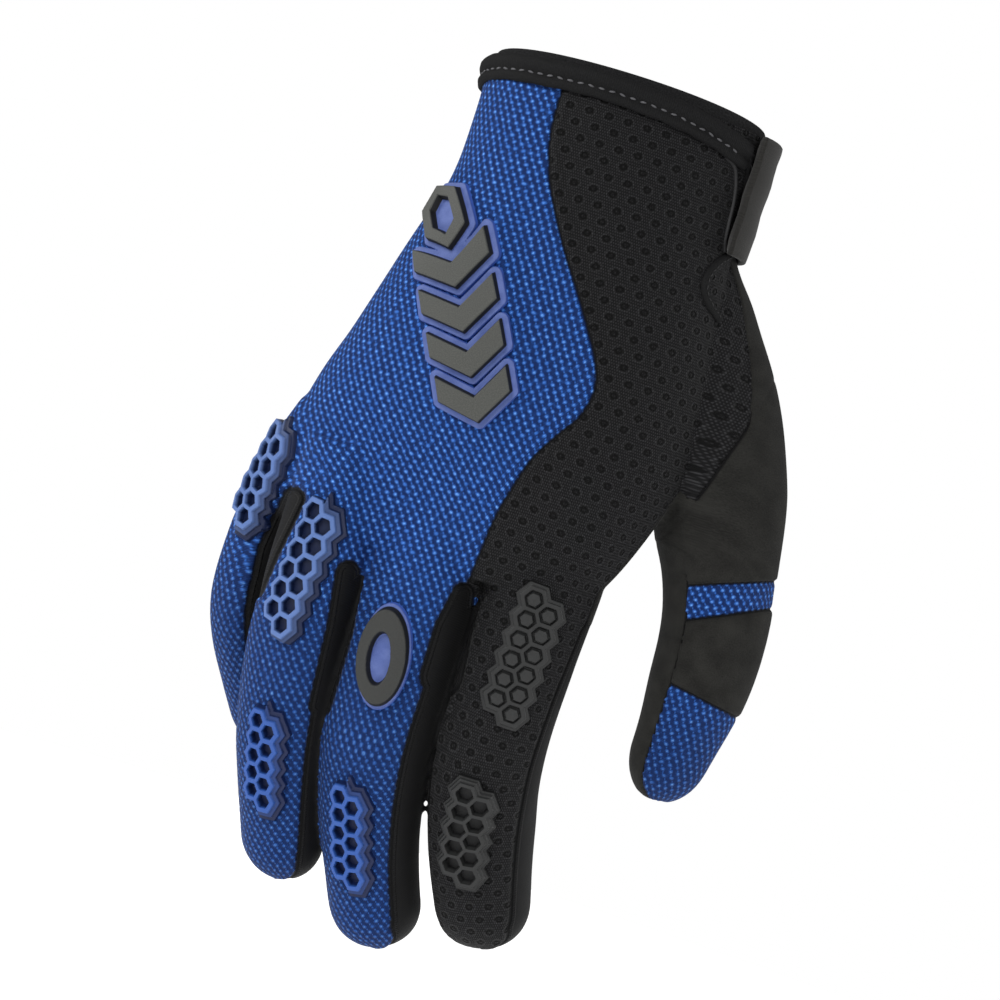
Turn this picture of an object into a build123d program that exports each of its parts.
"""Right-hand riding glove, built as it would be cut and sewn, on a relaxed hand.

Frame (mm): the origin is the centre of the wrist opening. +Z runs out of the
cuff, along the forearm; the fingers point down -Z. +X is the thumb side.
-Y is the back of the hand, +Y is the palm.

Every finger stall is a tube of four long panels: back, palm, and the two side
strips. The stalls hinge at the crotch of the fingers and at the middle knuckle.
"""
import os
from math import acos, cos, degrees, radians, sin, tan

from build123d import *

os.makedirs("parts", exist_ok=True)

# ---------------------------------------------------------------- shared sizes
WALL = 1.8              # thickness of the sewn fabric layers
JOINT_GAP = 0.6         # air between two stalls at a knuckle
SEAM_GAP = 0.05         # air between two panels of one stall

ROOT_FLEX = 60.0        # how far a finger bends at its crotch
ROOT_STRETCH = 10.0     # how far it straightens back from rest
KNUCKLE_FLEX = 70.0     # how far it bends at the middle knuckle
KNUCKLE_STRETCH = 10.0
THUMB_FLEX = 40.0
THUMB_STRETCH = 8.0
BEVEL_SPARE = 1.0       # spare angle on every bevel

# panel edges round a finger stall, in degrees: 90 is the palm, 270 the back
BACK_EDGE = 52.0        # half-width of the back panel
PALM_EDGE = 50.0        # half-width of the palm panel

# ---------------------------------------------------------------- the hand
# one row for each level: height, centre X, centre Y, half-width, half-depth,
# and the X of the seam between the blue and the black back panels
CUFF_TOP = 1.0
CUFF_HALF_WIDTH = 31.6
CUFF_HALF_DEPTH = 21.5
CUFF_CENTRE_X = -1.2
HAND_LEVELS = [
    (CUFF_TOP, CUFF_CENTRE_X, 0.0, CUFF_HALF_WIDTH, CUFF_HALF_DEPTH, -16.0),
    (-6.0, CUFF_CENTRE_X, 0.0, CUFF_HALF_WIDTH, CUFF_HALF_DEPTH, -15.8),
    (-26.0, -1.4, 0.0, 32.2, 21.5, -9.5),
    (-45.0, -1.8, 0.5, 37.0, 21.0, 3.0),
    (-58.0, -2.6, 1.0, 39.8, 20.4, 10.3),
    (-68.0, -3.8, 1.2, 41.4, 19.8, 8.8),
    (-85.0, -8.0, 1.8, 42.0, 18.5, 0.2),
]
HAND_END = (-12.5, 4.5, -103.5)   # centre of the sloping end at the crotches
HAND_END_HALF_WIDTH = 40.2
HAND_END_HALF_DEPTH = 16.5
HAND_END_SLOPE = 5.8              # the little-finger side ends higher
HAND_END_SEAM_X = -2.4
HAND_ROLL = 15.0                  # the little-finger side lies further back
ROLL_FROM = -6.0                  # the roll starts at this height
BLUE_EDGE = 166.0                 # where the blue panel meets the palm
BLACK_EDGE = 354.0                # where the black panel meets the palm
SLIT_FROM = 330.0                 # the cuff slit, from the back flap edge
SLIT_TO = 345.0                   # to the palm edge
SLIT_BOTTOM = -35.0

BINDING_TOP = 5.6
BINDING_HEIGHT = 9.0
BINDING_SPREAD = 0.9              # how far the binding stands out each side

WEB_THICK = 1.2                   # webbing across the end of the hand

# ---------------------------------------------------------------- closure strap
STRAP_TOP = 0.5
STRAP_HEIGHT = 24.5
STRAP_CLEAR = 1.35                # gap from cuff fabric to the strap
STRAP_THICK = 1.6
STRAP_FROM = 332.0
STRAP_TO = 432.0
PATCH_THICK = 0.9                 # loop patch on the cuff
PATCH_FROM = 15.0
PATCH_TO = 62.0
PATCH_TOP = -5.0
PATCH_HEIGHT = 17.0

# ---------------------------------------------------------------- the fingers
# root is the crotch hinge, knuckle the middle-knuckle hinge, bend a point past
# the knuckle, tip the end of the stall. Half-widths and half-depths follow. Roll
# turns the oval of the stall, and hinge turns the line it bends about.
FINGERS = {
    "index": dict(root=(12.7, 0.0, -114.0), knuckle=(12.4, 4.0, -143.0),
                  bend=(16.6, 10.0, -164.0), tip=(24.2, 17.0, -184.0),
                  width=(12.2, 12.0, 11.3), depth=(11.0, 10.4, 9.4), roll=0.0, hinge=23.0),
    "middle": dict(root=(-13.4, 1.0, -116.0), knuckle=(-12.5, 5.0, -147.5),
                   bend=(-8.2, 12.0, -168.0), tip=(1.4, 20.5, -190.5),
                   width=(11.7, 11.6, 10.6), depth=(10.8, 10.2, 9.2), roll=18.0, hinge=21.0),
    "ring": dict(root=(-36.6, 4.4, -116.0), knuckle=(-35.6, 9.0, -142.0),
                 bend=(-30.8, 16.0, -162.0), tip=(-25.4, 23.0, -183.0),
                 width=(10.2, 10.0, 9.4), depth=(9.6, 9.2, 8.6), roll=30.0, hinge=29.0),
    "little": dict(root=(-49.5, 17.5, -107.0), knuckle=(-48.0, 23.0, -128.0),
                   bend=(-44.0, 31.0, -144.0), tip=(-37.5, 39.0, -158.0),
                   width=(8.5, 8.2, 7.6), depth=(7.9, 7.6, 7.2), roll=50.0, hinge=42.0),
}
KNUCKLE_REACH = 4.0     # how far each tube is drawn past its hinge before cuts
COLLAR_REACH = 30.0     # length a collar is drawn to before it is cut at the webbing
TIP_PLUG = 0.6          # closed end of a stall, sewn to its back panel
TIP_ROUND = 9.0         # length of the rounded end of a stall

# ---------------------------------------------------------------- the thumb
THUMB = dict(root=(51.4, 9.8, -97.5), knuckle=(52.0, 12.0, -120.0),
             bend=(51.0, 13.6, -131.0), tip=(50.2, 15.4, -143.0),
             width=(11.5, 10.9, 8.9), depth=(11.3, 10.6, 8.6), roll=-30.0, hinge=-30.0)
THUMB_BASE_FROM = (14.0, 3.0, -26.0)
THUMB_BASE_MID = (43.5, 7.0, -74.0)
THUMB_BASE_HALF = (17.0, 16.0)      # half-widths at those two points
THUMB_BASE_TOP = -25.5              # the base panels start below the strap
THUMB_BAND = 6.5                    # height of the blue flex band
THUMB_SPLIT = 8.0                   # the side seams sit this far past the sides

# ---------------------------------------------------------------- moulded pads
CELL = 4.6              # honeycomb pitch
CELL_WALL = 1.2         # rib between two cells
PAD_HEIGHT = 2.2        # how far a pad stands off the fabric
PAD_SEAT = 0.05         # glue line under a pad
PAD_ON_COLLAR = 16.0    # reach of the pad bed above a crotch hinge
BADGE_BASE = 1.2        # badge plate
BADGE_RAISE = 1.6       # raised shapes on it
BADGE_HEAD = (-30.5, -35.5)
BADGE_FOOT = (-11.0, -81.5)
BADGE_HALF = 8.2
EMBLEM_HALF_WIDTH = 5.9
EMBLEM_HALF_LENGTH = 11.2


# ---------------------------------------------------------------- placing helpers
def side_of(roll):
    """Unit vector across a stall, towards the thumb."""
    return Vector(cos(radians(roll)), -sin(radians(roll)), 0)


def section(point, heading, roll):
    """Plane across a stall: x to the thumb side, y to the palm, z to the cuff."""
    return Plane(origin=Vector(*point), x_dir=side_of(roll), z_dir=heading * -1)


def blend(low, high, share):
    return low + (high - low) * share


def stall_levels(f, part, extra=KNUCKLE_REACH):
    """Sections of one half of a finger: (plane, half-width, half-depth)."""
    root, knuckle = Vector(*f["root"]), Vector(*f["knuckle"])
    bend, tip = Vector(*f["bend"]), Vector(*f["tip"])
    (w0, w1, w2), (d0, d1, d2) = f["width"], f["depth"]
    roll = f["roll"]
    if part == "near":
        heading = (knuckle - root).normalized()
        first, last = root - heading * extra, knuckle + heading * KNUCKLE_REACH
        return [(section(first, heading, roll), w0, d0),
                (section(last, heading, roll), w1, d1)]
    upper = (bend - knuckle).normalized()
    lower = (tip - bend).normalized()
    middle = (upper + lower).normalized()
    start = knuckle - upper * KNUCKLE_REACH
    shoulder = tip - lower * TIP_ROUND
    shrink = tip - lower * (TIP_ROUND * 0.35)
    return [(section(start, upper, roll), w1, d1),
            (section(bend, middle, roll), w2, d2),
            (section(shoulder, lower, roll), w2 * 0.90, d2 * 0.90),
            (section(shrink, lower, roll), w2 * 0.66, d2 * 0.66),
            (section(tip, lower, roll), w2 * 0.26, d2 * 0.26)]


def sector(plane, half_w, half_d, start, end, wall=WALL, stand=0.0):
    """One slice of an oval ring, from start to end degrees."""
    with BuildSketch(plane) as slice_sketch:
        with BuildLine():
            outer = EllipticalCenterArc((0, 0), half_w + stand, half_d + stand,
                                        start_angle=start, arc_size=end - start)
            inner = EllipticalCenterArc((0, 0), half_w + stand - wall,
                                        half_d + stand - wall,
                                        start_angle=start, arc_size=end - start)
            Line(outer @ 0, inner @ 0)
            Line(outer @ 1, inner @ 1)
        make_face()
    return slice_sketch.sketch.faces()[0]


def oval(plane, half_w, half_d):
    with BuildSketch(plane) as oval_sketch:
        Ellipse(half_w, half_d)
    return oval_sketch.sketch.faces()[0]


def grown(levels, stand):
    """Whole outlines of a stall, stood off from its fabric."""
    return [oval(plane, half_w + stand, half_d + stand) for plane, half_w, half_d in levels]


def bevel(point, heading, roll, keep_upper, flex, stretch, gap=JOINT_GAP):
    """Trim the end of a stall so that it can bend both ways about its hinge."""
    across = side_of(roll)
    square = (heading - across * heading.dot(across)).normalized()
    palm = square.cross(across).normalized()
    if palm.Y < 0:
        palm = palm * -1
    along = square * (-1 if keep_upper else 1)
    for angle, way in ((flex / 2 + BEVEL_SPARE, -1), (stretch / 2 + BEVEL_SPARE, 1)):
        normal = along * cos(radians(angle)) + palm * (way * sin(radians(angle)))
        split(bisect_by=Plane(origin=Vector(*point) + normal * (gap / 2), z_dir=normal),
              keep=Keep.TOP)


def mean_heading(f):
    root, knuckle, bend = Vector(*f["root"]), Vector(*f["knuckle"]), Vector(*f["bend"])
    return ((knuckle - root).normalized() + (bend - knuckle).normalized()).normalized()


def near_heading(f):
    return (Vector(*f["knuckle"]) - Vector(*f["root"])).normalized()


def save(builder, name):
    builder.part.label = name
    export_step(builder.part, f"parts/{name}.step")


# ---------------------------------------------------------------- the hand panels
def hand_planes():
    rows = []
    for z, cx, cy, half_w, half_d, seam_x in HAND_LEVELS:
        roll = HAND_ROLL * max(0.0, (ROLL_FROM - z) / (ROLL_FROM - HAND_END[2]))
        plane = Plane(origin=(cx, cy, z), x_dir=side_of(roll), z_dir=(0, 0, 1))
        rows.append((plane, half_w, half_d, 360 - degrees(acos((seam_x - cx) / half_w))))
    cx = HAND_END[0]
    tilt = radians(HAND_END_SLOPE)
    plane = Plane(origin=HAND_END, x_dir=side_of(HAND_ROLL), z_dir=(sin(tilt), 0, cos(tilt)))
    share = (HAND_END_SEAM_X - cx) / HAND_END_HALF_WIDTH
    rows.append((plane, HAND_END_HALF_WIDTH, HAND_END_HALF_DEPTH, 360 - degrees(acos(share))))
    return rows


def hand_outlines(stand):
    """Outlines of the whole hand, stood off from its fabric."""
    return grown([row[:3] for row in hand_planes()], stand)


THUMB_HEADING = (Vector(*THUMB["root"]) - Vector(*THUMB_BASE_MID)).normalized()
BASE_HEADING = (Vector(*THUMB_BASE_MID) - Vector(*THUMB_BASE_FROM)).normalized()


def thumb_base_levels():
    half_0, half_1 = THUMB_BASE_HALF
    low = Vector(*THUMB["root"]) + THUMB_HEADING * KNUCKLE_REACH
    mid = (THUMB_HEADING + BASE_HEADING).normalized()
    return [(section(THUMB_BASE_FROM, BASE_HEADING, THUMB["roll"]), half_0, half_0 * 0.94),
            (section(THUMB_BASE_MID, mid, THUMB["roll"]), half_1, half_1 * 0.94),
            (section(low, THUMB_HEADING, THUMB["roll"]), THUMB["width"][0],
             THUMB["depth"][0])]


def thumb_passage():
    return grown(thumb_base_levels(), -WALL)


with BuildPart() as hand_back_blue:
    loft([sector(plane, half_w, half_d, BLUE_EDGE, seam - 0.1)
          for plane, half_w, half_d, seam in hand_planes()], ruled=True)
save(hand_back_blue, "hand_back_blue")

with BuildPart() as hand_back_black:
    loft([sector(plane, half_w, half_d, seam + 0.1,
                 SLIT_FROM if plane.origin.Z > SLIT_BOTTOM else BLACK_EDGE)
          for plane, half_w, half_d, seam in hand_planes()], ruled=True)
    loft(thumb_passage(), ruled=True, mode=Mode.SUBTRACT)
save(hand_back_black, "hand_back_black")

with BuildPart() as hand_palm:
    loft([sector(plane, half_w, half_d,
                 (SLIT_TO if plane.origin.Z > SLIT_BOTTOM else BLACK_EDGE + 0.1) - 360,
                 BLUE_EDGE - 0.1)
          for plane, half_w, half_d, seam in hand_planes()], ruled=True)
    loft(thumb_passage(), ruled=True, mode=Mode.SUBTRACT)
save(hand_palm, "hand_palm")

# elastic binding that folds over the cuff edge, open at the slit
with BuildPart() as cuff_binding:
    outer_ring = sector(Plane(origin=(CUFF_CENTRE_X, 0, BINDING_TOP - BINDING_HEIGHT)),
                        CUFF_HALF_WIDTH, CUFF_HALF_DEPTH, SLIT_TO - 360, SLIT_FROM,
                        wall=WALL + 2 * BINDING_SPREAD, stand=BINDING_SPREAD)
    extrude(outer_ring, amount=BINDING_HEIGHT)
    edge_ring = sector(Plane(origin=(CUFF_CENTRE_X, 0, BINDING_TOP - BINDING_HEIGHT - 1)),
                       CUFF_HALF_WIDTH, CUFF_HALF_DEPTH, SLIT_TO - 361, SLIT_FROM + 1,
                       wall=WALL + 2 * SEAM_GAP, stand=SEAM_GAP)
    extrude(edge_ring, amount=BINDING_HEIGHT + 1 - (BINDING_TOP - CUFF_TOP) + SEAM_GAP,
            mode=Mode.SUBTRACT)
save(cuff_binding, "cuff_binding")

# webbing across the end of the hand, with a hole into each stall
with BuildPart() as finger_webbing:
    end_plane = hand_planes()[-1][0]
    with BuildSketch(end_plane.offset(-SEAM_GAP)):
        Ellipse(HAND_END_HALF_WIDTH, HAND_END_HALF_DEPTH)
    extrude(amount=-WEB_THICK)
    for f in FINGERS.values():
        heading = near_heading(f)
        with BuildSketch(section(f["root"], heading, f["roll"])):
            Ellipse(f["width"][0] - WALL, f["depth"][0] - WALL)
        extrude(amount=30, both=True, mode=Mode.SUBTRACT)
save(finger_webbing, "finger_webbing")

# ---------------------------------------------------------------- finger stalls
PANELS = {"back": (270 - BACK_EDGE, 270 + BACK_EDGE),
          "outer_side": (90 + PALM_EDGE, 270 - BACK_EDGE),
          "inner_side": (270 + BACK_EDGE, 450 - PALM_EDGE),
          "palm": (90 - PALM_EDGE, 90 + PALM_EDGE)}


def below_webbing():
    """Trim a stall root to the underside of the webbing."""
    end_plane = hand_planes()[-1][0]
    low = end_plane.offset(-WEB_THICK - 2 * SEAM_GAP)
    split(bisect_by=Plane(origin=low.origin, z_dir=low.z_dir * -1), keep=Keep.TOP)


for finger, f in FINGERS.items():
    width, depth = f["width"], f["depth"]

    # short collar between the webbing and the crotch hinge
    with BuildPart() as collar:
        heading = near_heading(f)
        low_end = section(Vector(*f["root"]) + heading * KNUCKLE_REACH, heading, f["roll"])
        extrude(oval(low_end, width[0], depth[0]), amount=COLLAR_REACH)
        extrude(oval(low_end, width[0] - WALL, depth[0] - WALL), amount=COLLAR_REACH,
                mode=Mode.SUBTRACT)
        below_webbing()
        bevel(f["root"], heading, f["hinge"], True, ROOT_FLEX, ROOT_STRETCH)
    save(collar, f"{finger}_collar")

    # near half: from the crotch to the middle knuckle
    for panel, (start, end) in PANELS.items():
        with BuildPart() as near:
            loft([sector(plane, half_w, half_d, start + 0.2, end - 0.2)
                  for plane, half_w, half_d in stall_levels(f, "near")], ruled=True)
            bevel(f["root"], heading, f["hinge"], False, ROOT_FLEX, ROOT_STRETCH)
            bevel(f["knuckle"], mean_heading(f), f["hinge"], True,
                  KNUCKLE_FLEX, KNUCKLE_STRETCH)
        save(near, f"{finger}_near_{panel}")

    # far half: back panel with the closed end, and the wrap of palm and sides
    far = stall_levels(f, "far")
    with BuildPart() as far_back:
        loft([sector(plane, half_w, half_d, 270 - BACK_EDGE + 0.2, 270 + BACK_EDGE - 0.2)
              for plane, half_w, half_d in far], ruled=True)
        tip_plane, tip_w, tip_d = far[-1]
        extrude(oval(tip_plane, tip_w, tip_d), amount=-TIP_PLUG)
        bevel(f["knuckle"], mean_heading(f), f["hinge"], False,
              KNUCKLE_FLEX, KNUCKLE_STRETCH)
    save(far_back, f"{finger}_far_back")

    with BuildPart() as far_wrap:
        loft([sector(plane, half_w, half_d, BACK_EDGE - 90 + 0.2, 270 - BACK_EDGE - 0.2)
              for plane, half_w, half_d in far], ruled=True)
        bevel(f["knuckle"], mean_heading(f), f["hinge"], False,
              KNUCKLE_FLEX, KNUCKLE_STRETCH)
    save(far_wrap, f"{finger}_far_wrap")

# ---------------------------------------------------------------- the thumb
for half, (start, end) in {"back": (180 - THUMB_SPLIT, 360 + THUMB_SPLIT),
                           "palm": (THUMB_SPLIT, 180 - THUMB_SPLIT)}.items():
    with BuildPart() as thumb_base:
        loft([sector(plane, half_w, half_d, start + 0.2, end - 0.2)
              for plane, half_w, half_d in thumb_base_levels()], ruled=True)
        loft(hand_outlines(SEAM_GAP), ruled=True, mode=Mode.SUBTRACT)
        split(bisect_by=Plane.XY.offset(THUMB_BASE_TOP), keep=Keep.BOTTOM)
        bevel(THUMB["root"], THUMB_HEADING, THUMB["hinge"], True,
              THUMB_FLEX, THUMB_STRETCH)
    keep_piece = thumb_base.part.solids().sort_by(SortBy.VOLUME)[-1]
    with BuildPart() as thumb_base_clean:
        add(keep_piece)
    save(thumb_base_clean, f"thumb_base_{half}")

near_thumb = stall_levels(THUMB, "near")
thumb_mean = mean_heading(THUMB)
band_plane = Plane(origin=Vector(*THUMB["root"]) + near_heading(THUMB) * THUMB_BAND,
                   z_dir=near_heading(THUMB))
for piece in ("band", "knuckle_back", "near_palm"):
    is_palm = piece == "near_palm"
    start = THUMB_SPLIT if is_palm else 180 - THUMB_SPLIT
    end = 180 - THUMB_SPLIT if is_palm else 360 + THUMB_SPLIT
    with BuildPart() as thumb_piece:
        loft([sector(plane, half_w, half_d, start + 0.2, end - 0.2)
              for plane, half_w, half_d in near_thumb], ruled=True)
        bevel(THUMB["root"], THUMB_HEADING, THUMB["hinge"], False,
              THUMB_FLEX, THUMB_STRETCH)
        bevel(THUMB["knuckle"], thumb_mean, THUMB["hinge"], True,
              THUMB_FLEX, THUMB_STRETCH)
        if piece == "band":
            split(bisect_by=band_plane.offset(-SEAM_GAP), keep=Keep.BOTTOM)
        elif piece == "knuckle_back":
            split(bisect_by=band_plane.offset(SEAM_GAP), keep=Keep.TOP)
    save(thumb_piece, f"thumb_{piece}")

for half, (start, end) in {"back": (180 - THUMB_SPLIT, 360 + THUMB_SPLIT),
                           "palm": (THUMB_SPLIT, 180 - THUMB_SPLIT)}.items():
    with BuildPart() as thumb_tip:
        loft([sector(plane, half_w, half_d, start + 0.2, end - 0.2)
              for plane, half_w, half_d in stall_levels(THUMB, "far")], ruled=True)
        if half == "back":
            tip_plane, tip_w, tip_d = stall_levels(THUMB, "far")[-1]
            extrude(oval(tip_plane, tip_w, tip_d), amount=-TIP_PLUG)
        bevel(THUMB["knuckle"], thumb_mean, THUMB["hinge"], False,
              THUMB_FLEX, THUMB_STRETCH)
    save(thumb_tip, f"thumb_tip_{half}")

# ---------------------------------------------------------------- closure strap
def cuff_band(top, height, start, end, stand, thick):
    plane = Plane(origin=(CUFF_CENTRE_X, 0, top - height))
    band = sector(plane, CUFF_HALF_WIDTH, CUFF_HALF_DEPTH, start, end, wall=thick,
                  stand=stand + thick)
    extrude(band, amount=height)


with BuildPart() as strap:
    cuff_band(STRAP_TOP, STRAP_HEIGHT, STRAP_FROM, STRAP_TO, STRAP_CLEAR, STRAP_THICK)
save(strap, "closure_strap")

with BuildPart() as loop_patch:
    cuff_band(PATCH_TOP, PATCH_HEIGHT, PATCH_FROM, PATCH_TO, 0.06, PATCH_THICK)
    loft(hand_outlines(0.02), ruled=True, mode=Mode.SUBTRACT)
save(loop_patch, "loop_patch")


# ---------------------------------------------------------------- moulded pads
def honeycomb(columns, rows, hole):
    """Close-packed hexagons, columns across and rows along, flat sides up."""
    pitch_x = CELL * cos(radians(30))
    spots = []
    for i in range(columns):
        for j in range(rows):
            x = (i - (columns - 1) / 2) * pitch_x
            y = ((rows - 1) / 2 - j) * CELL - (CELL / 2 if i % 2 else 0) + CELL / 4
            spots.append((x, y))
    with Locations(*spots):
        RegularPolygon(hole, 6, major_radius=False)


def pad(name, f, part, rows, centre, shift, cut=None, on_hand=False):
    """A two-column honeycomb pad that follows the back of a stall."""
    near = part == "near"
    start = Vector(*(f["root"] if near else f["knuckle"]))
    goal = Vector(*(f["knuckle"] if near else f["tip"]))
    heading = (goal - start).normalized()
    across = side_of(f["roll"])
    back = across.cross(heading).normalized()
    if back.Y > 0:
        back = back * -1
    spot = start + heading * centre + across * shift
    plane = Plane(origin=spot, x_dir=across, z_dir=back)
    levels = stall_levels(f, part)
    low_end = section(start + heading * KNUCKLE_REACH, heading, f["roll"])
    (w0, _, _), (d0, _, _) = f["width"], f["depth"]
    with BuildPart() as made:
        if on_hand:
            loft(hand_outlines(PAD_HEIGHT), ruled=True)
            extrude(oval(low_end, w0 + PAD_HEIGHT, d0 + PAD_HEIGHT), amount=PAD_ON_COLLAR)
        else:
            loft(grown(levels, PAD_HEIGHT), ruled=True)
        with BuildSketch(plane):
            honeycomb(2, rows, CELL / 2 + CELL_WALL / 2)
        extrude(amount=30, mode=Mode.INTERSECT)
        with BuildSketch(plane):
            honeycomb(2, rows, CELL / 2 - CELL_WALL / 2)
        extrude(amount=30, mode=Mode.SUBTRACT)
        if on_hand:
            loft(hand_outlines(PAD_SEAT), ruled=True, mode=Mode.SUBTRACT)
            extrude(oval(low_end, w0 + PAD_SEAT, d0 + PAD_SEAT), amount=PAD_ON_COLLAR,
                    mode=Mode.SUBTRACT)
            extrude(oval(hand_planes()[-1][0], HAND_END_HALF_WIDTH + PAD_SEAT,
                         HAND_END_HALF_DEPTH + PAD_SEAT), amount=-WEB_THICK - PAD_SEAT * 2,
                    mode=Mode.SUBTRACT)
        else:
            loft(grown(levels, PAD_SEAT), ruled=True, mode=Mode.SUBTRACT)
        if cut is not None:
            upper = cut == "upper"
            turn = side_of(f["hinge"])
            square = (heading - turn * heading.dot(turn)).normalized()
            normal = square * (-1 if upper else 1)
            palm = turn.cross(square) * -1
            if palm.Y < 0:
                palm = palm * -1
            lean = radians(ROOT_STRETCH / 2 + BEVEL_SPARE)
            normal = normal * cos(lean) + palm * sin(lean)
            split(bisect_by=Plane(origin=start + normal * (JOINT_GAP / 2), z_dir=normal),
                  keep=Keep.TOP)
    biggest = made.part.solids().sort_by(SortBy.VOLUME)[-1]
    with BuildPart() as clean:
        add(biggest)
    save(clean, name)


pad("index_knuckle_pad_upper", FINGERS["index"], "near", 6, 7.0, 0.0, "upper", True)
pad("index_knuckle_pad", FINGERS["index"], "near", 6, 7.0, 0.0, "lower")
pad("index_tip_pad", FINGERS["index"], "far", 5, 18.0, -1.0)
pad("middle_tip_pad", FINGERS["middle"], "far", 5, 24.0, 0.5)
pad("ring_knuckle_pad_upper", FINGERS["ring"], "near", 6, 4.0, 0.0, "upper", True)
pad("ring_knuckle_pad", FINGERS["ring"], "near", 6, 4.0, 0.0, "lower")
pad("ring_tip_pad", FINGERS["ring"], "far", 5, 18.0, 0.5)
pad("little_knuckle_pad_upper", FINGERS["little"], "near", 5, -4.0, 0.0, "upper", True)
pad("little_knuckle_pad", FINGERS["little"], "near", 5, -4.0, 0.0, "lower")


# ---------------------------------------------------------------- badge and emblem
BADGE_LINE = Vector(BADGE_FOOT[0] - BADGE_HEAD[0], BADGE_FOOT[1] - BADGE_HEAD[1])
BADGE_LONG = BADGE_LINE.length
BADGE_DOWN = BADGE_LINE.normalized()
BADGE_OUT = Vector(-BADGE_DOWN.Y, BADGE_DOWN.X)


def on_badge(down, out):
    """A point of the badge, from its head, down the band and out to the thumb."""
    p = Vector(*BADGE_HEAD) + BADGE_DOWN * down + BADGE_OUT * out
    return (p.X, p.Y)


def badge_plate_outline():
    half = BADGE_HALF
    Polygon(on_badge(-8, -half * 0.5), on_badge(-4.5, -half), on_badge(6, -half * 0.95),
            on_badge(BADGE_LONG * 0.75, -half), on_badge(BADGE_LONG + 4, -half * 0.4),
            on_badge(BADGE_LONG + 4, half * 0.4), on_badge(BADGE_LONG * 0.75, half),
            on_badge(6, half * 0.95), on_badge(-4.5, half), on_badge(-8, half * 0.5),
            align=None)


def chevron(down, arm, half, bar):
    Polygon(on_badge(down, -half), on_badge(down + arm, 0), on_badge(down, half),
            on_badge(down + bar, half), on_badge(down + arm + bar, 0),
            on_badge(down + bar, -half), align=None)


with BuildPart() as badge_plate:
    loft(hand_outlines(BADGE_BASE), ruled=True)
    with BuildSketch(Plane.XZ):
        badge_plate_outline()
    extrude(amount=40, mode=Mode.INTERSECT)
    loft(hand_outlines(PAD_SEAT), ruled=True, mode=Mode.SUBTRACT)
save(badge_plate, "badge_plate")

BADGE_SHAPES = 5
for number in range(BADGE_SHAPES):
    with BuildPart() as badge_shape:
        loft(hand_outlines(BADGE_BASE + BADGE_RAISE), ruled=True)
        with BuildSketch(Plane.XZ):
            if number == 0:
                with Locations(on_badge(0, 0)):
                    RegularPolygon(6.2, 6)
                    RegularPolygon(3.4, 6, mode=Mode.SUBTRACT)
            else:
                chevron(5.5 + (number - 1) * 9.6, 5.0, 6.4 - number * 0.25, 4.4)
        extrude(amount=40, mode=Mode.INTERSECT)
        loft(hand_outlines(BADGE_BASE + SEAM_GAP), ruled=True, mode=Mode.SUBTRACT)
    save(badge_shape, f"badge_raised_{number + 1}")

MIDDLE = FINGERS["middle"]
for name, low, high, shrink in (("emblem_plate", PAD_SEAT, BADGE_BASE, 1.0),
                                ("emblem_raised", BADGE_BASE + SEAM_GAP,
                                 BADGE_BASE + BADGE_RAISE * 0.7, 0.84)):
    heading = near_heading(MIDDLE)
    across = side_of(MIDDLE["roll"])
    back = across.cross(heading).normalized()
    back = back * (-1 if back.Y > 0 else 1)
    spot = Vector(*MIDDLE["root"]) + heading * 15.5
    with BuildPart() as emblem:
        loft(grown(stall_levels(MIDDLE, "near"), high), ruled=True)
        with BuildSketch(Plane(origin=spot, x_dir=across, z_dir=back)):
            Ellipse(EMBLEM_HALF_WIDTH * shrink, EMBLEM_HALF_LENGTH * shrink)
            if name == "emblem_raised":
                Ellipse(EMBLEM_HALF_WIDTH * 0.42, EMBLEM_HALF_LENGTH * 0.46, rotation=20,
                        mode=Mode.SUBTRACT)
        extrude(amount=30, mode=Mode.INTERSECT)
        loft(grown(stall_levels(MIDDLE, "near"), low), ruled=True, mode=Mode.SUBTRACT)
    save(emblem, name)
